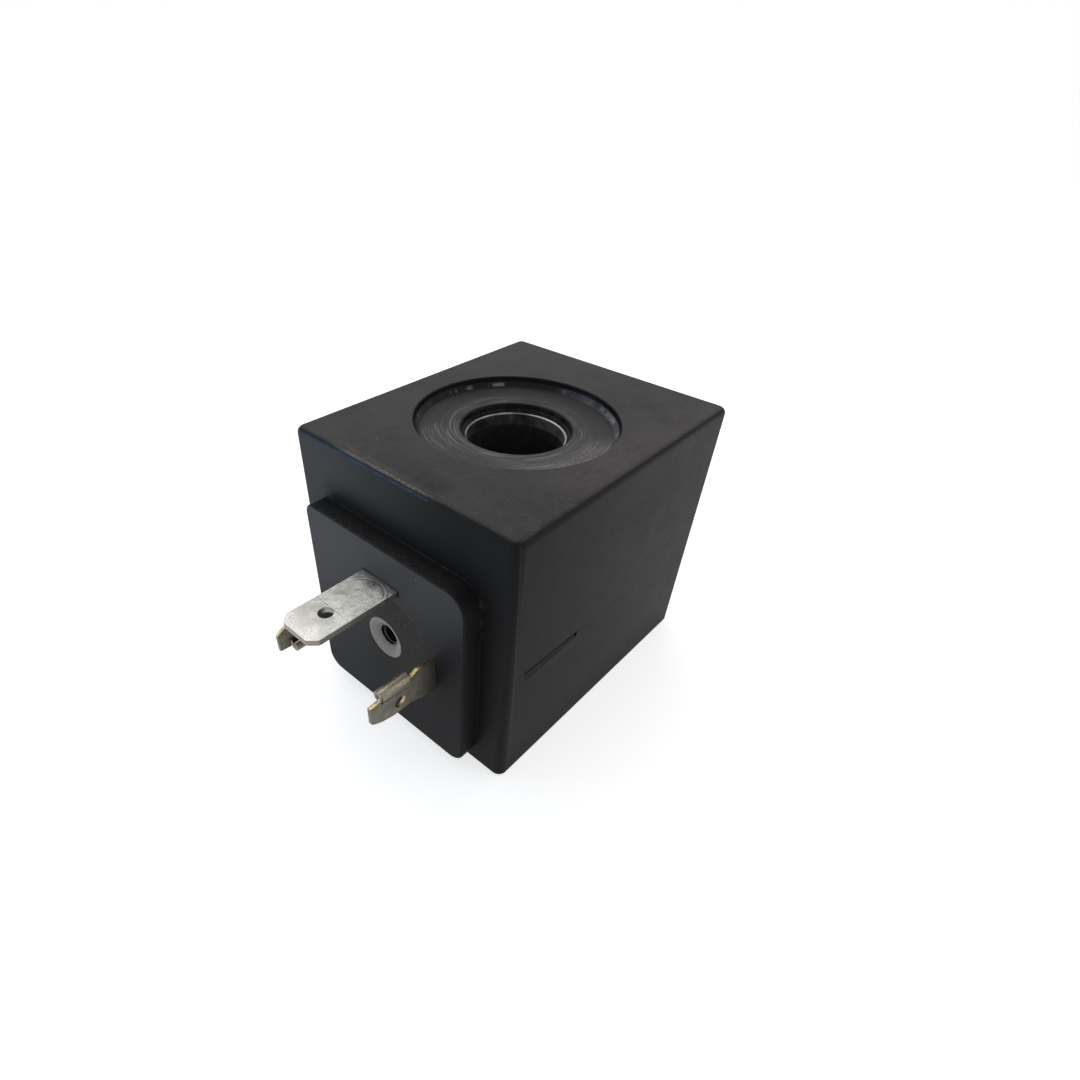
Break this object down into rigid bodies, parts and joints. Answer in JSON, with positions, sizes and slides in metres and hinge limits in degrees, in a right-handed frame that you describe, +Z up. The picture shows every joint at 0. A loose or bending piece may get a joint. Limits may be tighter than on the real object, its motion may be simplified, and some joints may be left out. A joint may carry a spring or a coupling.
{
  "type": "solenoid valve coil",
  "caption": "Encapsulated solenoid coil: a black moulded block with a through bore, a round top recess and a plug base with earth blade, power contacts and screw boss.",
  "frame": {"origin": "on the axis of the armature bore, in the plane of the bottom face", "axes": "+Z up the bore towards the recessed top, -Y out of the plug base, +X to the right of the plug base"},
  "size_m": [0.0372, 0.0611, 0.0395],
  "materials": {
    "casing_plastic": "moulded, slightly satin, scuffed",
    "bobbin_plastic": "glass-filled, satin",
    "enamelled_copper": "copper wire under clear enamel",
    "polyester_tape": "yellow film tape",
    "frame_steel": "zinc plated strip, punched edges",
    "tinned_steel": "dull tin plate with handling marks",
    "rivet_steel": "zinc plated",
    "tinned_brass": "tin plated faces, raw brass on the cut edges",
    "carrier_plastic": "pale grey, satin",
    "insert_brass": "tarnished thread",
    "sleeve_braid": "woven glass sleeve",
    "solder": "bright"
  },
  "bodies": {
    "root": {"moulded_casing": "casing_plastic", "coil_bobbin": "bobbin_plastic", "copper_winding": "enamelled_copper", "winding_tape": "polyester_tape", "yoke_frame": "frame_steel", "yoke_front_plate": "frame_steel", "earth_blade": "tinned_steel", "earth_rivet": "rivet_steel", "power_contact_right": "tinned_brass", "power_contact_left": "tinned_brass", "terminal_carrier": "carrier_plastic", "screw_insert": "insert_brass", "winding_lead_right": "enamelled_copper", "winding_lead_left": "enamelled_copper", "lead_sleeve_right": "sleeve_braid", "lead_sleeve_left": "sleeve_braid", "solder_joint_right": "solder", "solder_joint_left": "solder"}
  },
  "joints": []
}
